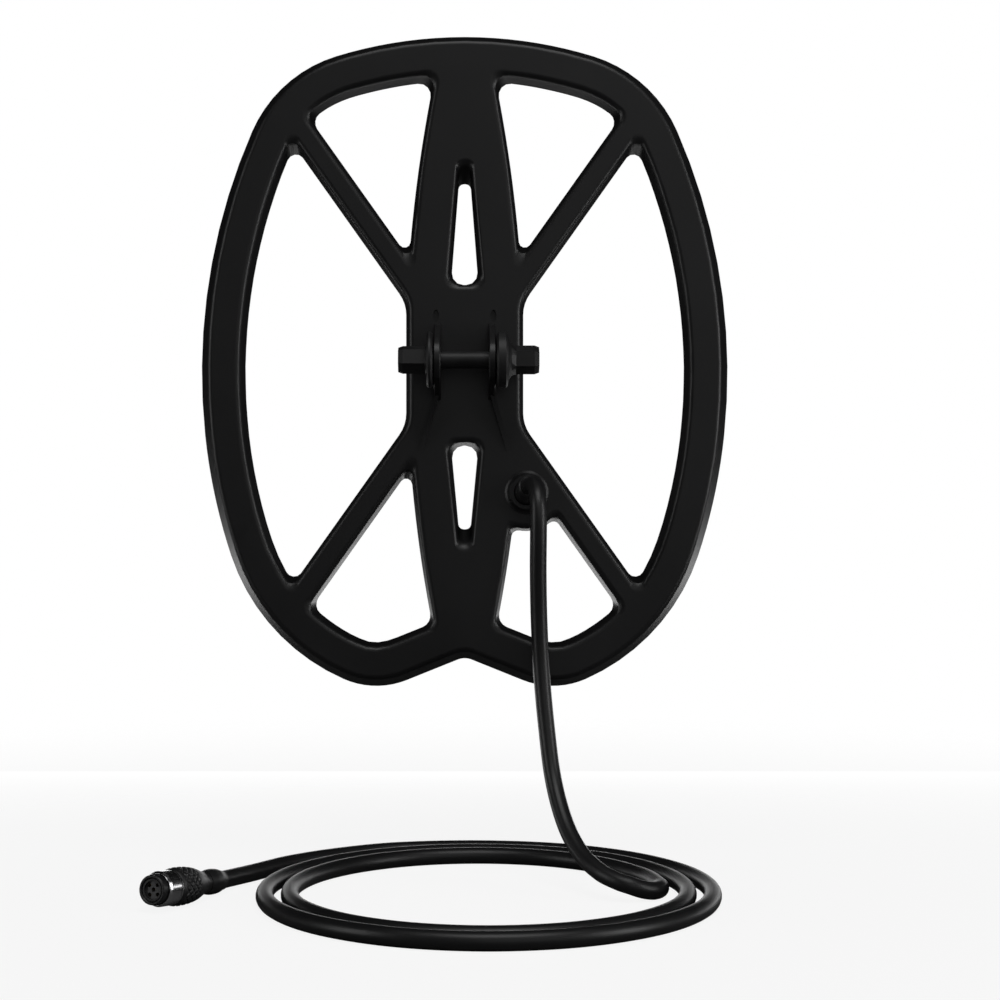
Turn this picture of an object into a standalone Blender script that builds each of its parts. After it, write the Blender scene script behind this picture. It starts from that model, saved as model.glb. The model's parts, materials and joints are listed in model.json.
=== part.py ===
"""Double-D search coil of a metal detector, with its pivot bolt, its cable and its plug.

The coil stands upright in the XZ plane and its working face looks along +Y. The ears stand out towards -Y,
and the origin is on the pivot bolt's axis, midway between them. +Z points to the coil's toe. The cable leaves
the boss beside the heel, hangs down and lies in two loose loops on a floor below the coil.
"""

import math

import bmesh
import bpy
from mathutils import Matrix, Vector
from mathutils.geometry import interpolate_bezier, intersect_line_line_2d, intersect_line_sphere_2d

# Coil body, in metres.
COIL_WIDTH = 0.2259
COIL_HEIGHT = 0.2789
COIL_TOP = 0.1411  # the rim's top edge above the pivot axis
PIVOT_STAND = 0.018  # the pivot axis in front of the coil's flat face
RIM_WIDTH = 0.0186
RIM_DRAFT = 0.003  # how far the rim's outer wall leans in
OPENING_DRAFT = 0.001  # the same for the walls of the openings
EDGE_ROUND = 0.0026  # radius between a wall and the flat face
WALL = 0.002
FACE_WALL = 0.0022
PLATE = 0.0018  # thickness of the closing plate's edge
PLATE_STEP = 0.0006  # how far the plate's middle stands into the tray
PLATE_CHAMFER = 0.0007
WINDING_DIAMETER = 0.003
WINDING_GAP = 0.0004
FIT_GAP = 0.0003  # clearance between touching pieces

# Spokes, column and openings.
SPOKE_WIDTH = 0.0122
SPOKE_ANGLE = math.radians(54.6)
SPOKES_MEET = {1: 0.0018, -1: 0.0008}  # how far past the pivot each end's pair of spokes would meet
COLUMN_HALF = {1: 0.0256, -1: 0.0249}  # half the column's width at the pivot's height, at the toe and the heel
COLUMN_TIP = {1: 0.01418, -1: 0.01258}  # the same where the column meets the rim
RIM_SAG = {1: 0.0045, -1: 0.0012}  # how much nearer the pivot than the rim's farthest point that is
WAIST_WIDTH = 0.0503
TIP_ROUND = 0.0026  # an end opening's corner at the hub
RIM_ROUND = 0.0052  # its corners at the rim
SIDE_ROUND = 0.0036  # a side opening's corners at the rim
WAIST_ROUND = 0.016
PAD_RADIUS = 0.0165  # the pad around the cable's boss
HUB_REACH, PAD_REACH = 0.052, 0.067  # about how far from the pivot the column meets the hub and the pad
SLOT_WIDE = 0.0118
SLOT_NARROW = 0.005
SLOT_START = 0.0345  # a slot's wide end from the pivot axis
UPPER_SLOT = 0.0435
LOWER_SLOT = 0.0360
SLOT_SCOOP = 0.0060  # how far a slot's narrow end slopes away towards the face

# Ears, tail ribs and pivot.
EAR_GAP = 0.020
EAR_THICKNESS = 0.003
EAR_ROUND = 0.0095
EAR_FOOT = (-0.016, 0.0172)  # where an ear meets the face, from heel to toe
PIT_PLACE = (0.0122, 0.0203)  # the small sunk pit past each ear's toe end
PIT_WIDTH = 0.0026
PIT_DEPTH = 0.0012
RIB_REACH = 0.022
RIB_SPREAD = 0.0075
RIB_HEIGHT = 0.0055
RIB_THICKNESS = 0.0019
EAR_BEVEL = 0.0005
BOLT_DIAMETER = 0.0072
BOLT_CLEARANCE = 0.0003
HEX_WIDTH = 0.0104  # across flats
BOLT_HEX = 0.0118
BOLT_FLANGE = 0.0025
HEAD_TURN = math.radians(12)  # the bolt's head came to rest a little turned from the knob's
KNOB_FLANGE = 0.0046
KNOB_NECK = 0.0034
KNOB_HEX = 0.0096
FLANGE_DIAMETER = 0.0234
THREAD_RUN = 0.0115  # how far the bolt's end reaches into the knob
END_CHAMFER = 0.0019
END_DROP = 0.0006  # how far the chamfer narrows the end

# Boss, strain relief and cable.
BOSS = (0.0263, -0.0548)
BOSS_RADIUS = 0.0083
BOSS_HEIGHT = 0.0042
BUSH_RADIUS = 0.0052
BUSH_TIP_RADIUS = 0.0046
NUT_WIDTH = 0.0150
NUT_THICKNESS = 0.003
CABLE_DIAMETER = 0.007
CORE_DIAMETER = 0.0012
LEAD_DIAMETER = 0.0010
FLOOR = -0.214  # the surface that the cable lies on

# Board.
BOARD = (0.017, 0.0016, 0.024)
CAPACITOR = (0.0090, 0.0030, 0.0055)

# Plug, along its axis from the barrel's mouth.
BARREL_RADIUS = 0.00565
CUP_RADIUS = 0.0045  # the barrel's bore
SEAL_BORE = 0.0035
RING_RADIUS = 0.0067
RING_FRONT = 0.0033  # the ring starts behind the barrel's mouth
RING_CONE = 0.0014
RING_LENGTH = 0.0110  # the ring's rear edge from the mouth
GRIP_RADIUS = 0.00735
GRIP_LENGTH = 0.0190
COLLAR_RADIUS = 0.0050
COLLAR_LENGTH = 0.0125
INSERT_RECESS = 0.0014
CONTACT_CIRCLE = 0.0026
CONTACT_HOLE = 0.0009
CONTACT_SUNK = 0.0018  # how far inside its hole a contact starts
PLUG_REAR = Vector((-0.0968, -0.0345))  # where the cable meets the plug, in plan
PLUG_YAW = math.radians(25.0)
CABLE_STRAIGHT = 0.006  # the cable runs straight into the plug over this length

# The cable's route, in metres: out of the bush, down to the floor, round in an oval that widens, and to the plug.
HANGING = (
    (0.0272, 0.0087, -0.0523), (0.0286, 0.0022, -0.0517), (0.0296, -0.0034, -0.0540),
    (0.0301, -0.0075, -0.0585), (0.0303, -0.0093, -0.0645), (0.0303, -0.0086, -0.0730),
    (0.0303, -0.0058, -0.0880), (0.0308, -0.0022, -0.1080), (0.0319, -0.0010, -0.1300),
    (0.0337, -0.0048, -0.1515), (0.0362, -0.0130, -0.1725), (0.0404, -0.0255, -0.1885),
    (0.0460, -0.0380, -0.1985), (0.0528, -0.0490, -0.2038), (0.0590, -0.0545, -0.2062),
    (0.0640, -0.0565, -0.2076), (0.0688, -0.0555, -0.2093), (0.0732, -0.0527, -0.2103),
    (0.0761, -0.0480, -0.2105), (0.0766, -0.0420, -0.2105),
)
OVAL_CENTRE = (0.0070, -0.0505)
OVAL_SIZE = (0.0698, 0.0748)  # half its width and half its depth, where the cable joins it
OVAL_GROWTH = (0.0096, 0.0091)  # how much wider and deeper each turn is than the last
OVAL_TURNS = 2.25
OVAL_STEPS = 36  # points in all those turns
TAIL = ((-0.0290, 0.0402), (-0.0535, 0.0262), (-0.0735, 0.0070), (-0.0862, -0.0130))

# Worked out from the sizes above.
FACE_Y = PIVOT_STAND
CEILING_Y = FACE_Y + FACE_WALL
UPPER_LAYER_Y = CEILING_Y + WINDING_GAP + WINDING_DIAMETER / 2
LOWER_LAYER_Y = UPPER_LAYER_Y + WINDING_DIAMETER + WINDING_GAP
PLATE_FRONT_Y = LOWER_LAYER_Y + WINDING_DIAMETER / 2 + WINDING_GAP
TRAY_BACK_Y = PLATE_FRONT_Y + PLATE_STEP - FIT_GAP
PLATE_Y = TRAY_BACK_Y + FIT_GAP
BACK_Y = PLATE_Y + PLATE
EAR_OUTER = EAR_GAP / 2 + EAR_THICKNESS
BOLT_RADIUS = BOLT_DIAMETER / 2
TRAY_DEPTH = TRAY_BACK_Y - FACE_Y

# The right half of the rim, clockwise from the toe: each arc's radius and the heading it ends on.
RIM_ARCS = ((0.189, 17.0), (0.058, 66.4), (0.259, 96.0), (0.245, 108.4), (0.0885, 156.3), (0.0352, 201.9))
ARC_STEPS = 9
NOTCH_ROUND = 0.008


def cleared_scene():
    for item in list(bpy.data.objects):
        bpy.data.objects.remove(item, do_unlink=True)


def finish(name, color, roughness, metallic=0.0):
    material = bpy.data.materials.new(name)
    material.use_nodes = True
    shader = material.node_tree.nodes["Principled BSDF"]
    shader.inputs["Base Color"].default_value = (*color, 1.0)
    shader.inputs["Roughness"].default_value = roughness
    shader.inputs["Metallic"].default_value = metallic
    return material


def piece(name, mesh, material, smooth=True):
    """A named object made from a bmesh, closed and facing outwards."""
    bmesh.ops.recalc_face_normals(mesh, faces=mesh.faces)
    data = bpy.data.meshes.new(name)
    mesh.to_mesh(data)
    mesh.free()
    item = bpy.data.objects.new(name, data)
    bpy.context.scene.collection.objects.link(item)
    data.materials.append(material)
    if smooth:
        data.shade_smooth()
        data.set_sharp_from_angle(angle=math.radians(35))
    return item


def combine(item, helper, operation):
    """Adds a helper's shape to an object, or cuts it out, and keeps the helper out of the model."""
    helper.hide_render = True
    helper.display_type = "WIRE"
    modifier = item.modifiers.new(helper.name, "BOOLEAN")
    modifier.operation = operation
    modifier.object = helper
    modifier.solver = "EXACT"


# ---- flat outlines ---------------------------------------------------------------------------------------


def rim_nominal():
    """The rim's closed outline, clockwise from the toe, before it is fitted to the coil's width and height."""
    place = Vector((0.0, 0.0))
    heading = 0.0
    half = [place.copy()]
    for radius, end in RIM_ARCS:
        turn = math.radians(end) - heading
        centre = place + radius * Vector((-math.sin(heading), -math.cos(heading)))
        for step in range(1, ARC_STEPS + 1):
            angle = heading + turn * step / ARC_STEPS
            half.append(centre + radius * Vector((math.sin(angle), math.cos(angle))))
        place = half[-1]
        heading += turn
    slope = heading - math.pi
    reach = NOTCH_ROUND * math.sin(slope)
    run = (place.x - reach) / math.cos(slope)
    place = place + run * Vector((-math.cos(slope), math.sin(slope)))
    centre = place - NOTCH_ROUND * Vector((math.sin(slope), math.cos(slope)))
    for step in range(ARC_STEPS + 1):
        angle = slope * (1 - step / ARC_STEPS)
        half.append(centre + NOTCH_ROUND * Vector((math.sin(angle), math.cos(angle))))
    return half + [Vector((-point.x, point.y)) for point in half[-2:0:-1]]


def rim_outline(inset):
    """The rim's outline moved inwards by a distance."""
    nominal = rim_nominal()
    widest = 2 * max(point.x for point in nominal)
    tallest = max(point.y for point in nominal) - min(point.y for point in nominal)
    fitted = [
        Vector((point.x * COIL_WIDTH / widest, COIL_TOP + point.y * COIL_HEIGHT / tallest)) for point in nominal
    ]
    return moved(fitted, inset)


def moved(loop, inset):
    """A closed clockwise outline moved to the right of its direction of travel, which is inwards."""
    result = []
    for index, point in enumerate(loop):
        before = (point - loop[index - 1]).normalized()
        after = (loop[(index + 1) % len(loop)] - point).normalized()
        along = (before + after).normalized()
        mitre = max(along.dot(after), 0.5)
        result.append(point + Vector((along.y, -along.x)) * inset / mitre)
    return result


def resampled(line, count):
    """The same line with its points at equal distances."""
    lengths = [0.0]
    for first, second in zip(line, line[1:]):
        lengths.append(lengths[-1] + (second - first).length)
    result = []
    segment = 0
    for step in range(count):
        target = lengths[-1] * step / (count - 1)
        while segment < len(line) - 2 and lengths[segment + 1] < target:
            segment += 1
        span = lengths[segment + 1] - lengths[segment]
        result.append(line[segment].lerp(line[segment + 1], (target - lengths[segment]) / span))
    return result


def trimmed(line, at_start, at_end):
    """A line with a stretch cut off each end, at its old number of points."""
    fine = resampled(line, 200)
    total = sum((second - first).length for first, second in zip(fine, fine[1:]))
    first = round(199 * at_start / total)
    last = 199 - round(199 * at_end / total)
    if len(line) == 2:
        along = (line[1] - line[0]).normalized()
        return [line[0] + along * at_start, line[1] - along * at_end]
    return resampled(fine[first : last + 1], len(line))


def rounded(edges, radii, steps=5):
    """A closed outline of edges, with the corner at the start of each edge rounded to its radius."""
    count = len(edges)
    cuts = []
    for index, radius in enumerate(radii):
        arriving = (edges[index - 1][-1] - edges[index - 1][-2]).normalized()
        leaving = (edges[index][1] - edges[index][0]).normalized()
        turn = arriving.angle(leaving)
        cuts.append((radius * math.tan(turn / 2), radius * math.tan(turn / 4) * 4 / 3))
    lines = [trimmed(edges[i], cuts[i][0], cuts[(i + 1) % count][0]) for i in range(count)]
    outline = []
    for index in range(count):
        start, end = lines[index - 1][-1], lines[index][0]
        arriving = (lines[index - 1][-1] - lines[index - 1][-2]).normalized()
        leaving = (lines[index][1] - lines[index][0]).normalized()
        handle = cuts[index][1]
        arc = interpolate_bezier(start, start + arriving * handle, end - leaving * handle, end, steps)
        outline.extend(Vector(point[:2]) for point in arc)
        outline.extend(lines[index][1:-1])
    return outline


def crossing(ray, loop):
    """Where a ray from inside first meets a closed outline: the place along the outline, and the point."""
    start, along = ray
    far = start + along
    best = None
    for index, first in enumerate(loop):
        second = loop[(index + 1) % len(loop)]
        met = intersect_line_line_2d(start, far, first, second)
        if met is None:
            continue
        distance = (met - start).length
        if best is None or distance < best[0]:
            best = (distance, index + (met - first).length / (second - first).length, met)
    return best[1], best[2]


def stretch(loop, first_ray, last_ray, count):
    """The outline's points between two rays, clockwise."""
    first, start = crossing(first_ray, loop)
    last, end = crossing(last_ray, loop)
    if last < first:
        last += len(loop)
    between = [loop[i % len(loop)] for i in range(math.floor(first) + 1, math.floor(last) + 1)]
    return resampled([start, *between, end], count)


def meeting(first_ray, second_ray):
    start, along = first_ray
    other, across = second_ray
    return intersect_line_line_2d(start - along, start + along, other - across, other + across)


def spoke_ray(end, edge, grow):
    """A right-hand spoke's edge from the hub: end is 1 at the toe and -1 at the heel, edge is 1 on the outside."""
    along = Vector((math.cos(SPOKE_ANGLE), end * math.sin(SPOKE_ANGLE)))
    across = Vector((-math.sin(SPOKE_ANGLE), end * math.cos(SPOKE_ANGLE)))
    return Vector((0.0, end * SPOKES_MEET[end])) + across * edge * (SPOKE_WIDTH / 2 - grow), along


def rim_reach(end):
    """How far from the pivot the column meets the rim."""
    return (COIL_TOP if end > 0 else COIL_HEIGHT - COIL_TOP) - RIM_WIDTH - RIM_SAG[end]


def column_curve(end):
    """How the column narrows, times the distance from the pivot squared."""
    return (COLUMN_HALF[end] - COLUMN_TIP[end]) / rim_reach(end) ** 2


def column_ray(end, height, grow):
    """The straight line that the column's curved right edge follows at a distance from the pivot."""
    lean = column_curve(end) * height
    return Vector((COLUMN_HALF[end] + lean * height - grow, 0.0)), Vector((-2 * lean, end)).normalized()


def column_edge(end, grow, first, last, count=9):
    """The column's curved right edge between two points that lie on it."""
    heights = [first.y + (last.y - first.y) * step / (count - 1) for step in range(1, count - 1)]
    curve = [Vector((COLUMN_HALF[end] - column_curve(end) * y * y - grow, y)) for y in heights]
    return [first, *curve, last]


def end_opening(end, grow):
    """The opening between column, spoke and rim on the right, at the toe or the heel."""
    column = column_ray(end, rim_reach(end), grow)
    spoke = spoke_ray(end, 1, grow)
    tip = meeting(column_ray(end, HUB_REACH, grow), spoke)
    rim = rim_outline(RIM_WIDTH - grow)
    if end > 0:
        outside = stretch(rim, column, spoke, 13)
        inside = column_edge(end, grow, tip, outside[0])
        return rounded([outside, [outside[-1], tip], inside], [RIM_ROUND, RIM_ROUND, TIP_ROUND])
    outside = stretch(rim, spoke, column, 13)
    inside = column_edge(end, grow, outside[-1], tip)
    return rounded([outside, inside, [tip, outside[0]]], [RIM_ROUND, RIM_ROUND, TIP_ROUND])


def pad_meeting(ray, radius):
    """Where a ray leaves the pad's circle."""
    start, along = ray
    near, far = intersect_line_sphere_2d(start, start + along, Vector(BOSS), radius, False)
    return max((near, far), key=lambda point: (point - start).dot(along))


def pad_opening(grow):
    """The heel's right opening, which the pad around the cable's boss makes shorter."""
    spoke = spoke_ray(-1, 1, grow)
    rim = rim_outline(RIM_WIDTH - grow)
    outside = stretch(rim, spoke, column_ray(-1, rim_reach(-1), grow), 13)
    radius = PAD_RADIUS - grow
    first = pad_meeting(column_ray(-1, PAD_REACH, grow), radius)
    last = pad_meeting(spoke, radius)
    centre = Vector(BOSS)
    begin = math.atan2(*(first - centre).yx)
    sweep = (math.atan2(*(last - centre).yx) - begin) % math.tau
    arc = [
        centre + radius * Vector((math.cos(begin + sweep * i / 8), math.sin(begin + sweep * i / 8)))
        for i in range(9)
    ]
    edges = [outside, column_edge(-1, grow, outside[-1], first), arc, [last, outside[0]]]
    return rounded(edges, [RIM_ROUND, RIM_ROUND, TIP_ROUND, TIP_ROUND])


def side_opening(grow):
    upper = spoke_ray(1, -1, grow)
    lower = spoke_ray(-1, -1, grow)
    outside = stretch(rim_outline(RIM_WIDTH - grow), upper, lower, 25)
    waist = (Vector((WAIST_WIDTH / 2 - grow, 0.0)), Vector((0.0, 1.0)))
    low_corner = meeting(waist, lower)
    high_corner = meeting(waist, upper)
    edges = [outside, [outside[-1], low_corner], [low_corner, high_corner], [high_corner, outside[0]]]
    return rounded(edges, [SIDE_ROUND, SIDE_ROUND, WAIST_ROUND, WAIST_ROUND])


def slot_outline(end, length, grow, depth):
    """A tapered slot, whose narrow end slopes away: depth is 0 at the back and 1 at the flat face."""
    wide = SLOT_START - grow
    narrow = SLOT_START + length + grow + SLOT_SCOOP * depth
    near, far = SLOT_WIDE / 2 + grow, SLOT_NARROW / 2 + grow * 0.35
    corners = [Vector((far, end * narrow)), Vector((near, end * wide))]
    corners += [Vector((-near, end * wide)), Vector((-far, end * narrow))]
    if end < 0:
        corners.reverse()
    edges = [[corners[i], corners[(i + 1) % 4]] for i in range(4)]
    narrow_round, wide_round = far * 0.9, SLOT_WIDE * 0.42
    radii = [narrow_round, wide_round, wide_round, narrow_round]
    return rounded(edges, radii, steps=4)


def mirrored(loop):
    return [Vector((-point.x, point.y)) for point in reversed(loop)]


def plan(rim_inset, grow, y):
    """Every outline of the coil at one depth: the rim first, then the openings and slots."""
    depth = min(max((TRAY_BACK_Y - y) / TRAY_DEPTH, 0.0), 1.0)
    toe = end_opening(1, grow)
    side = side_opening(grow)
    loops = [rim_outline(rim_inset), toe, mirrored(toe), side, mirrored(side)]
    loops += [pad_opening(grow), mirrored(end_opening(-1, grow))]
    loops += [slot_outline(1, UPPER_SLOT, grow, depth), slot_outline(-1, LOWER_SLOT, grow, depth)]
    return loops


# ---- solids ----------------------------------------------------------------------------------------------


def capped(mesh, loops):
    """Fills the flat area between an outline and the outlines inside it."""
    edges = []
    for loop in loops:
        for index in range(len(loop)):
            pair = (loop[index - 1], loop[index])
            edges.append(mesh.edges.get(pair) or mesh.edges.new(pair))
    bmesh.ops.triangle_fill(mesh, use_beauty=True, edges=edges, normal=(0, 1, 0))


def layered(levels):
    """A body with the coil's outlines at several depths, closed at the first and the last."""
    mesh = bmesh.new()
    layers = [
        [[mesh.verts.new((point.x, y, point.y)) for point in loop] for loop in plan(rim_inset, grow, y)]
        for rim_inset, grow, y in levels
    ]
    for before, after in zip(layers, layers[1:]):
        for last, now in zip(before, after):
            for index in range(len(now)):
                mesh.faces.new((last[index - 1], last[index], now[index], now[index - 1]))
    capped(mesh, layers[0])
    capped(mesh, layers[-1])
    return mesh


def edge_levels(steps=3):
    """From the tray's back edge up the drafted wall and round on to the flat face."""
    levels = [(0.0, 0.0, TRAY_BACK_Y)]
    for step in range(steps + 1):
        angle = math.radians(90 * step / steps)
        run = EDGE_ROUND * (1 - math.cos(angle))
        y = FACE_Y + EDGE_ROUND * (1 - math.sin(angle))
        levels.append((RIM_DRAFT + run, OPENING_DRAFT + run, y))
    return levels


def turned(outline, sides, closed=False):
    """A profile of radius and height turned about Z, with a closed profile for a ring."""
    mesh = bmesh.new()
    points = [mesh.verts.new((radius, 0.0, height)) for radius, height in outline]
    pairs = list(zip(points, points[1:])) + ([(points[-1], points[0])] if closed else [])
    edges = [mesh.edges.new(pair) for pair in pairs]
    bmesh.ops.spin(
        mesh, geom=points + edges, cent=(0, 0, 0), axis=(0, 0, 1), angle=math.tau, steps=sides, use_merge=True
    )
    bmesh.ops.remove_doubles(mesh, verts=mesh.verts, dist=1e-6)
    return mesh


def prism(corners, height, start=0.0):
    """A flat polygon of XY corners, drawn up along Z."""
    mesh = bmesh.new()
    face = mesh.faces.new([mesh.verts.new((x, y, start)) for x, y in corners])
    raised = bmesh.ops.extrude_face_region(mesh, geom=[face])
    verts = [item for item in raised["geom"] if isinstance(item, bmesh.types.BMVert)]
    bmesh.ops.translate(mesh, verts=verts, vec=(0, 0, height))
    return mesh


def placed(mesh, matrix):
    bmesh.ops.transform(mesh, matrix=matrix, verts=mesh.verts)
    return mesh


def along_x(x):
    """Turns a piece built along +Z so that it runs along +X from x, on the pivot axis."""
    return Matrix.Translation((x, 0, 0)) @ Matrix.Rotation(math.radians(90), 4, "Y")


def facing(x, y, z):
    """Turns a piece built along +Z so that it runs along -Y."""
    return Matrix.Translation((x, y, z)) @ Matrix.Rotation(math.radians(90), 4, "X")


def tube(name, points, diameter, material, cyclic=False, bevel_resolution=1):
    data = bpy.data.curves.new(name, "CURVE")
    data.dimensions = "3D"
    data.bevel_depth = diameter / 2
    data.bevel_resolution = bevel_resolution
    data.use_fill_caps = not cyclic
    spline = data.splines.new("POLY")
    spline.points.add(len(points) - 1)
    for target, point in zip(spline.points, points):
        target.co = (*point, 1.0)
    spline.use_cyclic_u = cyclic
    data.materials.append(material)
    item = bpy.data.objects.new(name, data)
    bpy.context.scene.collection.objects.link(item)
    return item


def smooth_route(points, spacing):
    """Points on a smooth curve through the route's own points, spacing apart or closer."""
    result = []
    padded = [2 * points[0] - points[1], *points, 2 * points[-1] - points[-2]]
    for a, b, c, d in zip(padded, padded[1:], padded[2:], padded[3:]):
        chord = (c - b).length
        into = ((c - a) / ((c - b).length + (b - a).length)) * chord / 3
        out = ((d - b) / ((d - c).length + chord)) * chord / 3
        steps = max(1, round(chord / spacing))
        curve = interpolate_bezier(b, b + into, c - out, c, steps + 1)
        result.extend(curve[:-1])
    return result + [points[-1]]


def hexagon(across_flats):
    radius = across_flats / math.sqrt(3)
    return [(radius * math.cos(a), radius * math.sin(a)) for a in (math.radians(60 * i) for i in range(6))]


# ---- the pieces ------------------------------------------------------------------------------------------


def ear_profile():
    """An ear from the side, as height and reach: a foot in the flat face, and a round end about the pivot."""
    root = FACE_Y + FACE_WALL / 2
    first, last = (math.atan2(-root, abs(z)) + math.acos(EAR_ROUND / math.hypot(z, root)) for z in EAR_FOOT[::-1])
    angles = [first + (math.pi - last - first) * step / 12 for step in range(13)]
    foot = [(EAR_FOOT[0], -root), (EAR_FOOT[1], -root)]
    return foot + [(EAR_ROUND * math.cos(a), EAR_ROUND * math.sin(a)) for a in angles]


def sideways(x):
    """Turns a flat profile of height and reach towards -Y, with its thickness along +X from x."""
    return Matrix(((0, 0, 1, x), (0, -1, 0, 0), (1, 0, 0, 0), (0, 0, 0, 1)))


def ear(side):
    mesh = placed(prism(ear_profile(), EAR_THICKNESS), sideways(-EAR_THICKNESS / 2))
    rims = [
        edge
        for edge in mesh.edges
        if abs(edge.verts[0].co.x - edge.verts[1].co.x) < 1e-7 and min(vert.co.y for vert in edge.verts) < FACE_Y
    ]
    bmesh.ops.bevel(mesh, geom=rims, offset=EAR_BEVEL, segments=1, profile=0.5, affect="EDGES", material=-1)
    return placed(mesh, Matrix.Translation((side * (EAR_GAP + EAR_THICKNESS) / 2, 0, 0)))


def tail_rib(side):
    """A low buttress that runs from an ear's heel end outwards and down to the face."""
    start = Vector((side * (EAR_GAP + EAR_THICKNESS) / 2, EAR_FOOT[0] + EAR_THICKNESS))
    end = Vector((side * ((EAR_GAP + EAR_THICKNESS) / 2 + RIB_SPREAD), EAR_FOOT[0] - RIB_REACH))
    length = (end - start).length
    sunk = FACE_WALL / 2
    corners = [(0, -sunk), (0, RIB_HEIGHT), (-length * 0.45, RIB_HEIGHT * 0.55), (-length, 0), (-length, -sunk)]
    mesh = placed(prism(corners, RIB_THICKNESS, -RIB_THICKNESS / 2), sideways(0))
    swing = Matrix.Rotation(math.atan2(end.x - start.x, start.y - end.y), 4, "Y")
    return placed(mesh, Matrix.Translation((start.x, FACE_Y, start.y)) @ swing.inverted())


def top_shell(plastic):
    ceiling = (TRAY_BACK_Y - CEILING_Y) / TRAY_DEPTH
    levels = [(WALL + RIM_DRAFT * ceiling, WALL + OPENING_DRAFT * ceiling, CEILING_Y), (WALL, WALL, TRAY_BACK_Y)]
    shell = piece("top_shell", layered(levels + edge_levels()), plastic)
    for side, word in ((-1, "left"), (1, "right")):
        combine(shell, piece(f"{word}_ear_shape", ear(side), plastic), "UNION")
        combine(shell, piece(f"{word}_rib_shape", tail_rib(side), plastic), "UNION")
    foot = FACE_WALL / 2
    top = BOSS_HEIGHT
    boss = [(0, -foot), (BOSS_RADIUS + 0.001, -foot), (BOSS_RADIUS + 0.001, 0.0002), (BOSS_RADIUS, 0.001)]
    boss += [(BOSS_RADIUS - 0.0003, top - 0.0012), (BOSS_RADIUS - 0.0012, top), (0, top)]
    raised = placed(turned(boss, 32), facing(BOSS[0], FACE_Y, BOSS[1]))
    combine(shell, piece("boss_shape", raised, plastic), "UNION")
    bore = prism(circle(BUSH_RADIUS + FIT_GAP, 32), BOSS_HEIGHT + FACE_WALL + 0.004, -FACE_WALL - 0.002)
    combine(shell, piece("boss_bore", placed(bore, facing(BOSS[0], FACE_Y, BOSS[1])), plastic), "DIFFERENCE")
    for side, word in ((-1, "left"), (1, "right")):
        pit = prism([(x, 2 * y) for x, y in circle(PIT_WIDTH / 2, 12)], 2 * PIT_DEPTH, -PIT_DEPTH)
        spot = facing(side * PIT_PLACE[0], FACE_Y, PIT_PLACE[1])
        combine(shell, piece(f"{word}_pit", placed(pit, spot), plastic), "DIFFERENCE")
    reach = EAR_OUTER + 0.002
    hole = placed(prism(circle(BOLT_RADIUS + BOLT_CLEARANCE, 24), 2 * reach), along_x(-reach))
    combine(shell, piece("pivot_bore", hole, plastic), "DIFFERENCE")


def bottom_shell(plastic):
    inner = WALL + FIT_GAP
    levels = [(inner, inner, PLATE_FRONT_Y), (inner, inner, PLATE_Y), (0.0, 0.0, PLATE_Y)]
    levels += [(0.0, 0.0, BACK_Y - PLATE_CHAMFER), (PLATE_CHAMFER, PLATE_CHAMFER, BACK_Y)]
    piece("bottom_shell", layered(levels), plastic)


def circle(radius, sides):
    angles = [math.tau * step / sides for step in range(sides)]
    return [(radius * math.cos(a), radius * math.sin(a)) for a in angles]


def winding_path():
    """The left winding: down the column to the right of its middle, and back up the middle of the rim."""
    middle = rim_outline((RIM_WIDTH + WALL) / 2)
    lean = math.atan2(0.003, 0.070)
    start = Vector((0.0133, 0.0))
    up = (start, Vector((-math.sin(lean), math.cos(lean))))
    down = (start, Vector((-math.sin(lean), -math.cos(lean))))
    around = stretch(middle, down, up, 33)
    edges = [around, [around[-1], start + Vector((-0.0002, 0.004))]]
    edges += [[edges[-1][-1], start + Vector((-0.0002, -0.004))], [start + Vector((-0.0002, -0.004)), around[0]]]
    return rounded(edges, [0.010, 0.010, 0.004, 0.004], steps=5)


def windings(copper):
    left = winding_path()
    points = [(point.x, UPPER_LAYER_Y, point.y) for point in left]
    tube("transmit_winding", points, WINDING_DIAMETER, copper, cyclic=True)
    points = [(point.x, LOWER_LAYER_Y, point.y) for point in mirrored(left)]
    tube("receive_winding", points, WINDING_DIAMETER, copper, cyclic=True)


def block(name, size, centre, material):
    mesh = bmesh.new()
    bmesh.ops.create_cube(mesh, size=1.0, matrix=Matrix.Translation(centre) @ Matrix.Diagonal((*size, 1.0)))
    bmesh.ops.bevel(
        mesh, geom=mesh.edges[:], offset=0.0003, segments=1, profile=0.5, affect="EDGES", material=-1
    )
    return piece(name, mesh, material, smooth=False)


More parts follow.
